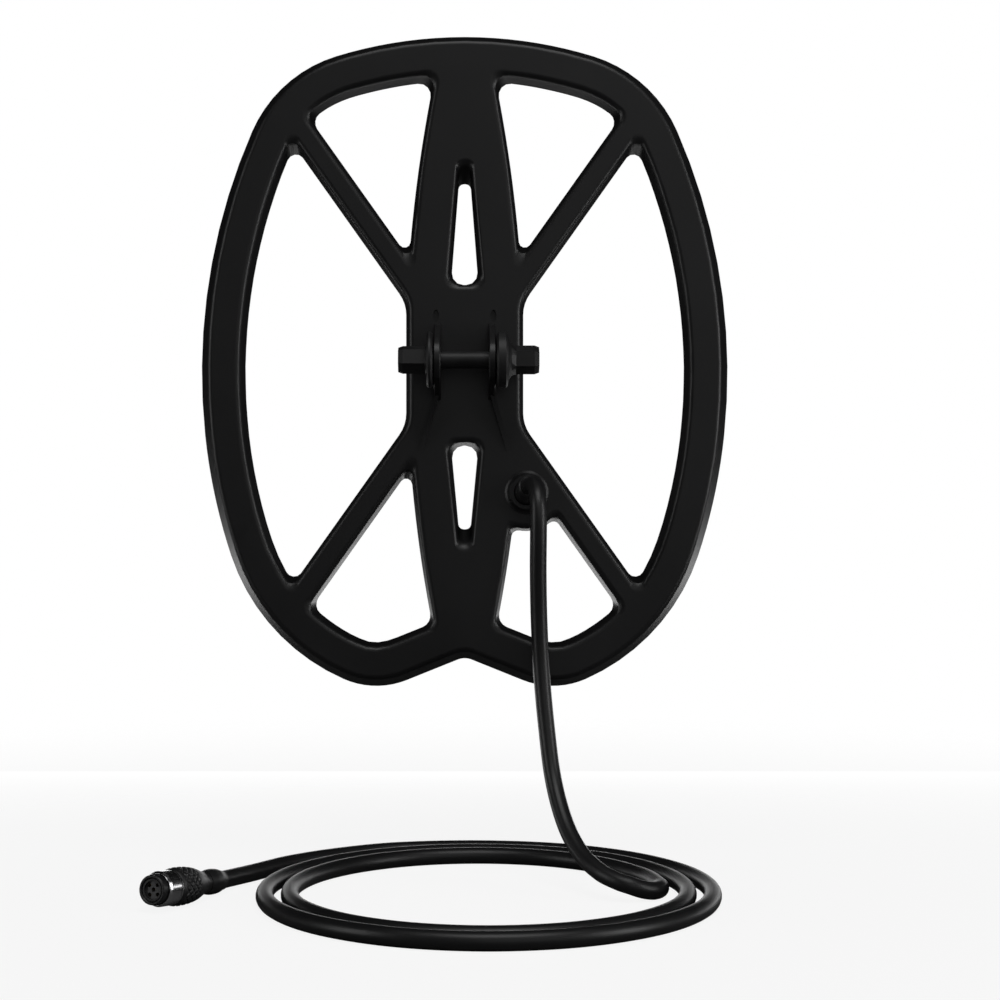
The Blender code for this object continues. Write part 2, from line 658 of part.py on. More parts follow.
def electronics(green, brown, copper, tinned, colours):
    board_y = CEILING_Y + 0.0008 + BOARD[1] / 2
    block("junction_board", BOARD, (0, board_y, 0), green)
    above = board_y + BOARD[1] / 2 + FIT_GAP
    block("tuning_capacitor", CAPACITOR, (0, above + CAPACITOR[1] / 2, 0.0055), brown)
    tail = Vector((BOSS[0], bush_tail_y() + FIT_GAP + CORE_DIAMETER / 2, BOSS[1]))
    for number in range(5):
        spread = (number - 2) * 0.0022
        entry = Vector((spread * 1.4, above + CORE_DIAMETER / 2, -BOARD[2] / 2 + 0.0022))
        begin = tail + Vector((spread, 0, 0.0008 * (2 - abs(number - 2))))
        route = [begin, begin + Vector((-0.004, 0, 0.011)), entry + Vector((0.0135, 0.0016, -0.0130))]
        route += [entry + Vector((0.0065, 0.0014, -0.0065)), entry]
        points = smooth_route(route, 0.005)
        tube(f"core_{number + 1}", points, CORE_DIAMETER, colours[number], bevel_resolution=1)
    for name, side, layer in (("transmit", 1, UPPER_LAYER_Y), ("receive", -1, LOWER_LAYER_Y)):
        for letter, height in (("a", 0.0022), ("b", -0.0024)):
            inner = Vector((side * 0.0062, above + LEAD_DIAMETER / 2, height))
            edge = 0.0131 - WINDING_DIAMETER / 2 - FIT_GAP - LEAD_DIAMETER / 2
            outer = Vector((side * (edge - 0.0002), max(layer, above + LEAD_DIAMETER / 2), height * 1.6))
            bend = (inner + outer) / 2 + Vector((0, 0.0004, 0))
            tube(f"{name}_lead_{letter}", smooth_route([inner, bend, outer], 0.002), LEAD_DIAMETER, tinned)


def bush_tail_y():
    return CEILING_Y + FIT_GAP + NUT_THICKNESS + 0.0006


def lofted(rings, sides=20):
    """A round body through rings of centre, direction and radius."""
    mesh = bmesh.new()
    layers = []
    for centre, direction, radius in rings:
        turn = direction.to_track_quat("Z", "X").to_matrix()
        layers.append([mesh.verts.new(centre + turn @ Vector((x, y, 0))) for x, y in circle(radius, sides)])
    for before, after in zip(layers, layers[1:]):
        for index in range(sides):
            mesh.faces.new((before[index - 1], before[index], after[index], after[index - 1]))
    mesh.faces.new(layers[0])
    mesh.faces.new(layers[-1])
    return mesh


def gland(rubber, nylon):
    forward = Vector((0, -1, 0))
    start = Vector(HANGING[0])
    heading = (Vector(HANGING[1]) - start).normalized()
    mouth = Vector((BOSS[0], FACE_Y - BOSS_HEIGHT, BOSS[1]))
    tail = Vector((BOSS[0], bush_tail_y(), BOSS[1]))
    tip = start - heading * FIT_GAP
    middle = mouth.lerp(tip, 0.5) + Vector((-0.0002, 0, -0.0003))
    lean = (forward + heading).normalized()
    rings = [(tail, forward, BUSH_RADIUS), (mouth, forward, BUSH_RADIUS)]
    rings += [(mouth.lerp(middle, 0.5), forward.lerp(lean, 0.4).normalized(), BUSH_RADIUS * 0.985)]
    rings += [(middle, lean, (BUSH_RADIUS + BUSH_TIP_RADIUS) / 2)]
    rings += [(tip - heading * 0.0006, heading, BUSH_TIP_RADIUS), (tip, heading, BUSH_TIP_RADIUS - 0.0006)]
    piece("strain_relief", lofted(rings), rubber)
    nut = placed(prism(hexagon(NUT_WIDTH), NUT_THICKNESS), facing(BOSS[0], bush_tail_y() - 0.0006, BOSS[1]))
    ring = piece("gland_nut", nut, nylon, smooth=False)
    bore = placed(
        prism(circle(BUSH_RADIUS + FIT_GAP, 24), NUT_THICKNESS + 0.002, -0.001),
        facing(BOSS[0], bush_tail_y() - 0.0006, BOSS[1]),
    )
    combine(ring, piece("gland_nut_bore", bore, nylon), "DIFFERENCE")


def stationed(stations, sides=24):
    """A piece on the pivot axis, through stations of place, radius and whether the section is a hexagon."""
    mesh = bmesh.new()
    layers = []
    for x, radius, hexagonal in stations:
        ring = []
        for step in range(sides):
            angle = math.tau * step / sides
            reach = radius / math.cos(angle % math.radians(60) - math.radians(30)) if hexagonal else radius
            ring.append(mesh.verts.new((x, -reach * math.sin(angle), reach * math.cos(angle))))
        layers.append(ring)
    for before, after in zip(layers, layers[1:]):
        for index in range(sides):
            mesh.faces.new((before[index - 1], before[index], after[index], after[index - 1]))
    mesh.faces.new(layers[0])
    mesh.faces.new(layers[-1])
    return mesh


def pivot(nylon):
    flange, corner, half_hex = FLANGE_DIAMETER / 2, 0.0008, HEX_WIDTH / 2
    inner = EAR_OUTER + FIT_GAP
    end = inner + THREAD_RUN
    head = [(inner + BOLT_FLANGE + BOLT_HEX, half_hex - END_DROP, True)]
    head += [(inner + BOLT_FLANGE + BOLT_HEX - END_CHAMFER, half_hex, True)]
    head += [(inner + BOLT_FLANGE + 0.0008, half_hex, True), (inner + BOLT_FLANGE, half_hex + 0.0012, False)]
    head += [(inner + BOLT_FLANGE, flange - corner, False), (inner + BOLT_FLANGE - corner, flange, False)]
    head += [(inner + corner, flange, False), (inner, flange - corner, False), (inner, BOLT_RADIUS, False)]
    stations = [(-x, radius, hexagonal) for x, radius, hexagonal in head]
    stations += [(end - 0.0008, BOLT_RADIUS, False), (end, BOLT_RADIUS - 0.0008, False)]
    piece("pivot_bolt", placed(stationed(stations), Matrix.Rotation(-HEAD_TURN, 4, "X")), nylon)

    bore = BOLT_RADIUS + FIT_GAP
    neck = inner + KNOB_FLANGE
    stations = [(end + FIT_GAP + 0.0004, bore, False), (inner, bore, False), (inner, flange - corner, False)]
    stations += [(inner + corner, flange, False), (neck - corner, flange, False), (neck, flange - corner, False)]
    stations += [(neck + KNOB_NECK * 0.12, half_hex * 1.62, False), (neck + KNOB_NECK * 0.45, half_hex * 1.28, False)]
    stations += [(neck + KNOB_NECK, half_hex, True), (neck + KNOB_NECK + KNOB_HEX - END_CHAMFER, half_hex, True)]
    stations += [(neck + KNOB_NECK + KNOB_HEX, half_hex - END_DROP, True)]
    piece("pivot_knob", stationed(stations), nylon)


def plug_frame():
    """From a piece built along +Z from the barrel's mouth to its place, with the plug lying on the floor."""
    tilt = plug_tilt()
    rearward = Vector((math.sin(PLUG_YAW) * math.cos(tilt), math.cos(PLUG_YAW) * math.cos(tilt), -math.sin(tilt)))
    rear = Vector((*PLUG_REAR, FLOOR + plug_height(plug_length())))
    turn = rearward.to_track_quat("Z", "Y").to_matrix().to_4x4()
    return Matrix.Translation(rear - rearward * plug_length()) @ turn


GRIP_START = RING_LENGTH + 4 * FIT_GAP
GRIP_WIDEST = GRIP_START + 0.0040
COLLAR_START = GRIP_START + GRIP_LENGTH + 0.0045 + FIT_GAP
COLLAR_WIDEST = COLLAR_START + 0.0055


def plug_length():
    return COLLAR_START + COLLAR_LENGTH + FIT_GAP


def plug_tilt():
    return math.asin((GRIP_RADIUS - COLLAR_RADIUS) / (COLLAR_WIDEST - GRIP_WIDEST))


def plug_height(along):
    """The height of the plug's axis above the floor."""
    return COLLAR_RADIUS / math.cos(plug_tilt()) + (COLLAR_WIDEST - along) * math.sin(plug_tilt())


def coupling_ring(steel, frame):
    inside = BARREL_RADIUS + FIT_GAP
    outline = [(inside, RING_FRONT), (inside + 0.0001, RING_FRONT), (RING_RADIUS, RING_FRONT + RING_CONE)]
    outline += [(RING_RADIUS, RING_LENGTH - 0.0004), (RING_RADIUS - 0.0004, RING_LENGTH), (inside, RING_LENGTH)]
    piece("coupling_ring", placed(turned(outline, 32, closed=True), frame), steel)


def plug_inside(steel, black, gold, rubber, frame):
    cup_floor, end = INSERT_RECESS + 0.0046, GRIP_START - FIT_GAP
    outline = [(0, cup_floor), (CUP_RADIUS, cup_floor), (CUP_RADIUS, 0.0003), (CUP_RADIUS + 0.0003, 0)]
    outline += [(BARREL_RADIUS - 0.0003, 0), (BARREL_RADIUS, 0.0003), (BARREL_RADIUS, end), (0, end)]
    piece("plug_body", placed(turned(outline, 28), frame), black)

    width = CUP_RADIUS - FIT_GAP
    seal = [(SEAL_BORE, 0.0004), (width, 0.0004), (width, INSERT_RECESS - FIT_GAP), (SEAL_BORE, INSERT_RECESS - FIT_GAP)]
    piece("plug_seal", placed(turned(seal, 28, closed=True), frame), rubber)
    outline = [(0, INSERT_RECESS), (width - 0.0003, INSERT_RECESS), (width, INSERT_RECESS + 0.0003)]
    outline += [(width, cup_floor - FIT_GAP), (0, cup_floor - FIT_GAP)]
    insert = piece("plug_insert", placed(turned(outline, 28), frame), black)
    places = [(0.0, 0.0)]
    for quarter in range(4):
        angle = math.radians(40 + 90 * quarter)
        places.append((CONTACT_CIRCLE * math.cos(angle), CONTACT_CIRCLE * math.sin(angle)))
    depth = 0.0032
    for number, (x, y) in enumerate(places):
        spot = frame @ Matrix.Translation((x, y, INSERT_RECESS))
        hole = placed(prism(circle(CONTACT_HOLE, 12), depth + 0.001, -0.001), spot)
        combine(insert, piece(f"contact_hole_{number + 1}", hole, black), "DIFFERENCE")
        outer, bore = CONTACT_HOLE - FIT_GAP, CONTACT_HOLE - 2 * FIT_GAP
        sleeve = [(0, depth - 0.0008), (bore, depth - 0.0008), (bore, CONTACT_SUNK), (outer, CONTACT_SUNK)]
        sleeve += [(outer, depth - FIT_GAP), (0, depth - FIT_GAP)]
        piece(f"contact_{number + 1}", placed(turned(sleeve, 12), spot), gold)

    clip = [(BARREL_RADIUS + FIT_GAP, RING_LENGTH + FIT_GAP), (RING_RADIUS, RING_LENGTH + FIT_GAP)]
    clip += [(radius, GRIP_START - FIT_GAP) for radius, _ in reversed(clip)]
    piece("ring_clip", placed(turned(clip, 28, closed=True), frame), steel)


def plug_outside(rubber, frame):
    neck = COLLAR_RADIUS * 0.9
    outline = [(0, 0), (RING_RADIUS - 0.0004, 0), (RING_RADIUS + 0.0001, 0.0006), (GRIP_RADIUS - 0.0001, 0.0026)]
    outline += [(GRIP_RADIUS, GRIP_WIDEST - GRIP_START), (GRIP_RADIUS - 0.0001, GRIP_LENGTH * 0.38)]
    outline += [(GRIP_RADIUS * 0.90, GRIP_LENGTH * 0.70), (GRIP_RADIUS * 0.78, GRIP_LENGTH * 0.97)]
    outline += [(neck + 0.0003, GRIP_LENGTH), (neck, GRIP_LENGTH + 0.0045), (0, GRIP_LENGTH + 0.0045)]
    piece("plug_grip", placed(turned(outline, 32), frame @ Matrix.Translation((0, 0, GRIP_START))), rubber)
    reach = COLLAR_WIDEST - COLLAR_START
    outline = [(0, 0), (neck, 0), (COLLAR_RADIUS * 0.965, reach * 0.4), (COLLAR_RADIUS, reach)]
    outline += [(COLLAR_RADIUS * 0.95, reach * 1.4), (COLLAR_RADIUS * 0.83, reach * 1.9)]
    outline += [(CABLE_DIAMETER / 2 + 0.0004, COLLAR_LENGTH), (0, COLLAR_LENGTH)]
    piece("plug_collar", placed(turned(outline, 28), frame @ Matrix.Translation((0, 0, COLLAR_START))), rubber)


def oval_point(turns):
    """A point of the widening oval in plan, counted in turns from its right-hand side."""
    angle = math.tau * turns
    across, deep = (size + growth * turns for size, growth in zip(OVAL_SIZE, OVAL_GROWTH))
    return OVAL_CENTRE[0] + across * math.cos(angle), OVAL_CENTRE[1] + deep * math.sin(angle)


def cable(rubber):
    lying = FLOOR + CABLE_DIAMETER / 2
    oval = [oval_point(OVAL_TURNS * step / OVAL_STEPS) for step in range(1, OVAL_STEPS + 1)]
    route = [Vector(point) for point in HANGING] + [Vector((x, y, lying)) for x, y in (*oval, *TAIL)]
    frame = plug_frame()
    route += [frame @ Vector((0.0, 0.0, plug_length() + run)) for run in (CABLE_STRAIGHT, 0.0)]
    points = smooth_route(route, 0.018)
    tube("cable", points, CABLE_DIAMETER, rubber, bevel_resolution=2)


def build():
    cleared_scene()
    plastic = finish("black_plastic", (0.012, 0.012, 0.013), 0.42)
    nylon = finish("black_nylon", (0.014, 0.014, 0.015), 0.38)
    rubber = finish("black_rubber", (0.016, 0.016, 0.017), 0.50)
    steel = finish("plated_steel", (0.62, 0.62, 0.63), 0.22, 1.0)
    gold = finish("gold", (0.83, 0.62, 0.28), 0.30, 1.0)
    copper = finish("taped_winding", (0.45, 0.20, 0.08), 0.45)
    tinned = finish("tinned_wire", (0.60, 0.58, 0.54), 0.35, 1.0)
    green = finish("board", (0.02, 0.18, 0.07), 0.40)
    brown = finish("capacitor", (0.30, 0.06, 0.02), 0.35)
    jackets = ((0.5, 0.02, 0.02), (0.02, 0.02, 0.02), (0.7, 0.7, 0.7), (0.02, 0.12, 0.5), (0.6, 0.5, 0.03))
    colours = [finish(f"core_jacket_{i + 1}", color, 0.4) for i, color in enumerate(jackets)]
    top_shell(plastic)
    bottom_shell(plastic)
    windings(copper)
    electronics(green, brown, copper, tinned, colours)
    gland(rubber, nylon)
    pivot(nylon)
    frame = plug_frame()
    coupling_ring(steel, frame)
    plug_inside(steel, nylon, gold, rubber, frame)
    plug_outside(rubber, frame)
    cable(rubber)


build()
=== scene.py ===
# %% [markdown]
# # A search coil for a metal detector, with its cable and plug
#
# The coil is a flat, open frame of black plastic with two windings sealed inside it. Two ears on
# its face take the lower end of the detector's stem, and a nylon bolt with a turning knob clamps
# the stem between them. The cable leaves a boss near the heel, hangs down, lies in an oval of loops
# and ends in a round plug.
#
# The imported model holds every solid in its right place. This lesson gives each visible solid a
# finish that looks like the real one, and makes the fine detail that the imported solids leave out.

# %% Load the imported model
import json
import math

import bmesh
import bpy
from mathutils import Matrix, Vector


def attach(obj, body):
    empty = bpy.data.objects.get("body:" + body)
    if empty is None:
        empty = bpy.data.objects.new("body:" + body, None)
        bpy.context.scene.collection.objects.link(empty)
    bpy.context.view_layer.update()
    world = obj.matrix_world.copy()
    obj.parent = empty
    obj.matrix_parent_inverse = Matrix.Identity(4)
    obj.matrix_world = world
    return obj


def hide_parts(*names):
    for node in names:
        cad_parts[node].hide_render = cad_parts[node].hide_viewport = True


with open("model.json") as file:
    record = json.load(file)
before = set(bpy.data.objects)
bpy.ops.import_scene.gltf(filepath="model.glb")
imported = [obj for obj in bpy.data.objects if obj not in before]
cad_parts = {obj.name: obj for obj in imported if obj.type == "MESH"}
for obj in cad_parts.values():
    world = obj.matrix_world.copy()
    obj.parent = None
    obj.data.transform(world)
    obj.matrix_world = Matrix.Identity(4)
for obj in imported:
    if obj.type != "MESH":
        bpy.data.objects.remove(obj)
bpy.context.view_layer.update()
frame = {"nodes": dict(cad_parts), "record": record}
print("pieces:", len(frame["nodes"]))

# %% [markdown]
# ## The camera
#
# The coil stands upright and faces the camera, which looks level along +Y from a little below the
# pivot bolt. A long lens about 0.8 m away gives the mild perspective of a product picture. The
# camera stays level, and the lens is shifted instead of tilted, so upright edges stay upright.

# %% Place the camera
CAMERA_AWAY = 0.798
CAMERA_DROP = 0.0665  # below the pivot bolt's axis

camera = bpy.data.objects.new("camera", bpy.data.cameras.new("camera"))
bpy.context.scene.collection.objects.link(camera)
camera.location = (0.0, -CAMERA_AWAY, -CAMERA_DROP)
camera.rotation_euler = (math.radians(90), 0.0, 0.0)
camera.data.sensor_width = 36.0
camera.data.lens = 69.16
camera.data.shift_x = 0.0353
camera.data.shift_y = 0.020
camera.data.clip_end = 50.0
bpy.context.scene.camera = camera

# %% [markdown]
# ## Shader sums as plain Python
#
# A finish such as moulded plastic mixes several patterns. Wiring each Math node by hand hides the
# idea, so one small class wraps a socket: adding or multiplying two of them makes the Math node,
# and one method makes any other node.

# %% A socket that can be used in sums


class Tone:
    """The output of a shader node, ready for sums."""

    def __init__(self, tree, socket=None):
        self.tree = tree
        self.socket = socket

    def node(self, kind, settings=None, sockets=None, output=0):
        """A new node: its settings first, then the value or the link of each socket."""
        made = self.tree.nodes.new(kind)
        for name, value in (settings or {}).items():
            if name == "stops":
                for stop, (place, shade) in zip(made.color_ramp.elements, value):
                    stop.position = place
                    stop.color = (shade, shade, shade, 1.0)
            else:
                setattr(made, name, value)
        for name, value in (sockets or {}).items():
            if isinstance(value, Tone):
                self.tree.links.new(value.socket, made.inputs[name])
            else:
                made.inputs[name].default_value = value
        return Tone(self.tree, made.outputs[output])

    def sum(self, operation, first, second):
        return self.node("ShaderNodeMath", {"operation": operation}, {0: first, 1: second})

    def __add__(self, other):
        return self.sum("ADD", self, other)

    def __sub__(self, other):
        return self.sum("SUBTRACT", self, other)

    def __rsub__(self, other):
        return self.sum("SUBTRACT", other, self)

    def __mul__(self, other):
        return self.sum("MULTIPLY", self, other)

    def blend(self, first, second):
        """From the first colour to the second as this tone goes from 0 to 1."""
        return self.node(
            "ShaderNodeMix",
            {"data_type": "RGBA"},
            {0: self, 6: (*first, 1.0), 7: (*second, 1.0)},
            output=2,
        )


def finish(name, color, roughness, **plain):
    """A new material, with a Tone to start its patterns from and its shader's sockets."""
    material = bpy.data.materials.new(name)
    material.use_nodes = True
    shader = material.node_tree.nodes["Principled BSDF"]
    shader.inputs["Base Color"].default_value = (*color, 1.0)
    shader.inputs["Roughness"].default_value = roughness
    for socket, value in plain.items():
        shader.inputs[socket.replace("_", " ")].default_value = value
    material.diffuse_color = (*color, 1.0)
    return material, Tone(material.node_tree), shader.inputs


def feed(start, socket, tone):
    start.tree.links.new(tone.socket, socket)


def place(start, turn=(0.0, 0.0, 0.0), shift=(0.0, 0.0, 0.0)):
    """Object coordinates, in metres, after a turn and a shift."""
    spot = start.node("ShaderNodeTexCoord", output=3)
    return start.node(
        "ShaderNodeMapping",
        {"vector_type": "POINT"},
        {"Vector": spot, "Location": shift, "Rotation": turn},
    )


def noise(start, spot, scale, detail=2.0, roughness=0.5):
    return start.node(
        "ShaderNodeTexNoise",
        None,
        {"Vector": spot, "Scale": scale, "Detail": detail, "Roughness": roughness},
    )


def bump(start, height, depth):
    """A Bump node: depth is the height of the relief in metres."""
    sockets = {"Height": height, "Distance": depth, "Strength": 1.0}
    return start.node("ShaderNodeBump", None, sockets)


# %% [markdown]
# ## Moulded plastic
#
# The shells are moulded in black ABS. The mould's surface is spark-eroded, so the plastic has a
# very fine grain that softens every reflection, and the gloss varies a little over a large face
# because the plastic cools unevenly. A flat black with one roughness looks like a hole in the
# picture: the grain and the uneven gloss are what make it read as plastic.

# %% Plastic finishes


def moulded(name, color, roughness, grain=0.00035, depth=0.000006, uneven=0.06, specular=0.5):
    material, start, sockets = finish(name, color, roughness, Specular_IOR_Level=specular)
    spot = place(start)
    fine = noise(start, spot, 1.0 / grain, 3.0, 0.6)
    broad = noise(start, spot, 22.0, 3.0, 0.55)
    gloss = broad * (2.0 * uneven) + fine * uneven + (roughness - 1.5 * uneven)
    feed(start, sockets["Roughness"], gloss)
    lighter = tuple(1.7 * part for part in color)
    darker = tuple(0.7 * part for part in color)
    feed(start, sockets["Base Color"], broad.blend(darker, lighter))
    feed(start, sockets["Normal"], bump(start, fine, depth))
    return material


shell_plastic = moulded("moulded_shell_plastic", (0.0060, 0.0060, 0.0064), 0.40)
plate_plastic = moulded("moulded_plate_plastic", (0.0060, 0.0060, 0.0064), 0.44)
nylon = moulded("black_nylon", (0.0070, 0.0070, 0.0074), 0.50, grain=0.0006, depth=0.00001)
insert_plastic = moulded("plug_insert_plastic", (0.055, 0.055, 0.056), 0.40, grain=0.0003)
barrel_plastic = moulded("plug_barrel_plastic", (0.008, 0.008, 0.0085), 0.40, grain=0.0003)
plastics = (shell_plastic, plate_plastic, nylon, insert_plastic, barrel_plastic)
print("plastics:", ", ".join(material.name for material in plastics))

# %% [markdown]
# ## Rubber, steel and gold
#
# The cable's jacket is soft black PVC: smooth, with a slight sheen and faint waves where it was
# coiled. The plug's grip is moulded from the same family of rubber but duller. The ring is nickel-
# plated and turned on a lathe; its finish has a fine grain and a polish that varies a little.

# %% Rubber finishes
cable_jacket = moulded("cable_jacket", (0.009, 0.009, 0.0095), 0.40, grain=0.0009, uneven=0.05)
grip_rubber = moulded("grip_rubber", (0.012, 0.012, 0.0125), 0.46, grain=0.00025, depth=0.00002)
seal_rubber = moulded("seal_rubber", (0.020, 0.020, 0.020), 0.55)
print("rubbers:", cable_jacket.name, grip_rubber.name, seal_rubber.name)

# %% Metal finishes


def metal(name, color, roughness, grain=0.0004, depth=0.000004):
    material, start, sockets = finish(name, color, roughness, Metallic=1.0)
    spot = place(start)
    fine = noise(start, spot, 1.0 / grain, 3.0, 0.6)
    broad = noise(start, spot, 120.0, 2.0, 0.5)
    feed(start, sockets["Roughness"], broad * 0.10 + fine * 0.06 + (roughness - 0.08))
    darker = tuple(0.82 * part for part in color)
    feed(start, sockets["Base Color"], broad.blend(darker, color))
    feed(start, sockets["Normal"], bump(start, fine, depth))
    return material


plated_steel = metal("nickel_plate", (0.74, 0.74, 0.75), 0.22)
gold_plate = metal("gold_plate", (0.83, 0.60, 0.26), 0.28)
tinned_wire = metal("tinned_wire", (0.62, 0.60, 0.56), 0.34)
print("metals:", plated_steel.name, gold_plate.name, tinned_wire.name)

# %% [markdown]
# ## The parts inside
#
# The windings, the junction board and the leads are sealed in and never seen from outside, but they
# are part of the object, so each has its own finish: taped windings with a spiral wrap, a green
# board with copper tracks, and coloured jackets on the cores.

# %% Finishes of the inner parts


def wrapped(name, color, band, roughness=0.45):
    """Bands of tape or wire that show as a fine slanted stripe."""
    material, start, sockets = finish(name, color, roughness)
    spot = place(start, turn=(0.3, 0.5, 0.4))
    stripe = start.node(
        "ShaderNodeTexWave",
        {"bands_direction": "Z"},
        {"Vector": spot, "Scale": 0.31 / band, "Distortion": 0.4},
    )
    darker = tuple(0.6 * part for part in color)
    feed(start, sockets["Base Color"], stripe.blend(darker, color))
    feed(start, sockets["Normal"], bump(start, stripe, 0.00008))
    return material


def board_finish():
    green, copper = (0.012, 0.085, 0.030), (0.030, 0.150, 0.055)
    material, start, sockets = finish("green_board", green, 0.32)
    spot = place(start, shift=(0.0003, 0.0, 0.0002))
    tracks = start.node(
        "ShaderNodeTexBrick",
        {"offset": 0.5},
        {
            "Vector": spot,
            "Scale": 420.0,
            "Mortar Size": 0.06,
            "Color1": (0, 0, 0, 1),
            "Color2": (0, 0, 0, 1),
            "Mortar": (1, 1, 1, 1),
        },
    )
    feed(start, sockets["Base Color"], tracks.blend(green, copper))
    feed(start, sockets["Normal"], bump(start, tracks, 0.00003))
    return material


winding_tape = wrapped("winding_tape", (0.42, 0.19, 0.07), 0.0022)
board_green = board_finish()
capacitor_dip = moulded("capacitor_dip", (0.28, 0.055, 0.018), 0.30, grain=0.0008, depth=0.00002)
core_colors = {
    "core_1": ("red_jacket", (0.45, 0.020, 0.018)),
    "core_2": ("black_jacket", (0.018, 0.018, 0.018)),
    "core_3": ("white_jacket", (0.68, 0.68, 0.66)),
    "core_4": ("blue_jacket", (0.020, 0.10, 0.45)),
    "core_5": ("yellow_jacket", (0.60, 0.48, 0.035)),
}
core_jackets = {
    node: moulded(name, color, 0.38, grain=0.0006) for node, (name, color) in core_colors.items()
}
print("inner finishes:", winding_tape.name, board_green.name, capacitor_dip.name)
print("core jackets:", len(core_jackets))

# %% [markdown]
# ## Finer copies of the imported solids
#
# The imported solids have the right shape, but their triangles are loose and flat. A copy whose
# corners are merged can be shaded smoothly. Its broad flat faces have to stay flat, so the normals
# are weighted by face size: a small rounding then bends the light, and the flat beside it doesn't.

# %% A smooth copy of one node
LEVEL = 0.9998  # how nearly a face's normal follows a direction to count as level with it
LEVEL_LIMIT = 16.5  # the steepest smooth bend beside a level face, in degrees
SLIVER_BEND = math.radians(0.5)  # triangles that meet at less than this are one flat face
FACE_WEIGHT = 80


def body_of(node):
    bodies = frame["record"]["behaviour"]["bodies"]
    return next(body for body, names in bodies.items() if node in names)


def adopt(piece, node):
    """The piece takes the node's place: it rides on the node's body, and the node is hidden."""
    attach(piece, body_of(node))
    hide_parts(node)
    return piece


def shown(name, mesh, material, angle=38.0, flat=None):
    """An object from a bmesh, smooth where faces meet at less than the angle.

    Faces that look along flat are broad and level, so only the rounding right beside them
    blends into them.
    """
    mesh.normal_update()
    for edge in mesh.edges:
        turn = math.degrees(edge.calc_face_angle(0.0))
        limit = angle
        if flat and any(face.normal.dot(Vector(flat)) > LEVEL for face in edge.link_faces):
            limit = LEVEL_LIMIT
        edge.smooth = turn < limit
    for face in mesh.faces:
        face.smooth = True
    data = bpy.data.meshes.new(name)
    mesh.to_mesh(data)
    mesh.free()
    data.materials.append(material)
    piece = bpy.data.objects.new(name, data)
    bpy.context.scene.collection.objects.link(piece)
    return piece


def smooth_copy(node, material, angle=38.0, weld=2e-6, flat=None):
    mesh = bmesh.new()
    mesh.from_mesh(frame["nodes"][node].data)
    bmesh.ops.remove_doubles(mesh, verts=mesh.verts, dist=weld)
    bmesh.ops.dissolve_limit(mesh, angle_limit=SLIVER_BEND, verts=mesh.verts, edges=mesh.edges)
    piece = shown(f"{node}_skin", mesh, material, angle, flat)
    weighted = piece.modifiers.new("weighted normals", "WEIGHTED_NORMAL")
    weighted.keep_sharp = True
    weighted.weight = FACE_WEIGHT
    print(f"{node}: {len(piece.data.polygons)} faces")
    return adopt(piece, node)


top_shell = smooth_copy("top_shell", shell_plastic, angle=32.0, flat=(0.0, -1.0, 0.0))
bottom_shell = smooth_copy("bottom_shell", plate_plastic, angle=32.0, flat=(0.0, 1.0, 0.0))
strain_relief = smooth_copy("strain_relief", cable_jacket)
pivot_bolt = smooth_copy("pivot_bolt", nylon, angle=16.0)
pivot_knob = smooth_copy("pivot_knob", nylon, angle=16.0)

# %% [markdown]
# ## The cable
#
# A screened lead 7 mm thick leaves the strain relief, bends down under its own weight and comes to
# the floor in front of the coil. There it lies in an oval that widens with each turn, so no strand
# crosses another, and then runs to the plug. A curve with a round bevel is the natural way to make
# it: its own line is the cable's centreline, so its length can be measured.

# %% The cable's route
FLOOR = -0.214
CABLE_DIAMETER = 0.007
HANGING = (
    (0.0272, 0.0087, -0.0523), (0.0286, 0.0022, -0.0517), (0.0296, -0.0034, -0.0540),
    (0.0301, -0.0075, -0.0585), (0.0303, -0.0093, -0.0645), (0.0303, -0.0086, -0.0730),
    (0.0303, -0.0058, -0.0880), (0.0308, -0.0022, -0.1080), (0.0319, -0.0010, -0.1300),
    (0.0337, -0.0048, -0.1515), (0.0362, -0.0130, -0.1725), (0.0404, -0.0255, -0.1885),
    (0.0460, -0.0380, -0.1985), (0.0528, -0.0490, -0.2038), (0.0590, -0.0545, -0.2062),
    (0.0640, -0.0565, -0.2076), (0.0688, -0.0555, -0.2093), (0.0732, -0.0527, -0.2103),
    (0.0761, -0.0480, -0.2105), (0.0766, -0.0420, -0.2105),
)
OVAL_CENTRE = (0.0070, -0.0505)
OVAL_SIZE = (0.0698, 0.0748)  # half its width and half its depth, where the cable joins it
OVAL_GROWTH = (0.0096, 0.0091)  # how much wider and deeper each turn is than the last
OVAL_TURNS = 2.25
OVAL_STEPS = 36  # points in all those turns
TAIL = ((-0.0290, 0.0402), (-0.0535, 0.0262), (-0.0735, 0.0070), (-0.0862, -0.0130))
PLUG_REAR = (-0.0968, -0.0345)
PLUG_REAR_HEIGHT = 0.00442  # the cable's middle above the floor where it meets the plug


def oval_point(turns):
    angle = math.tau * turns
    across, deep = (size + growth * turns for size, growth in zip(OVAL_SIZE, OVAL_GROWTH))
    return OVAL_CENTRE[0] + across * math.cos(angle), OVAL_CENTRE[1] + deep * math.sin(angle)


lying = FLOOR + CABLE_DIAMETER / 2
oval = [oval_point(OVAL_TURNS * step / OVAL_STEPS) for step in range(1, OVAL_STEPS + 1)]
route = [Vector(point) for point in HANGING] + [Vector((x, y, lying)) for x, y in (*oval, *TAIL)]
route.append(Vector((*PLUG_REAR, FLOOR + PLUG_REAR_HEIGHT)))
print("route points:", len(route))

# %% The cable as a bevelled curve


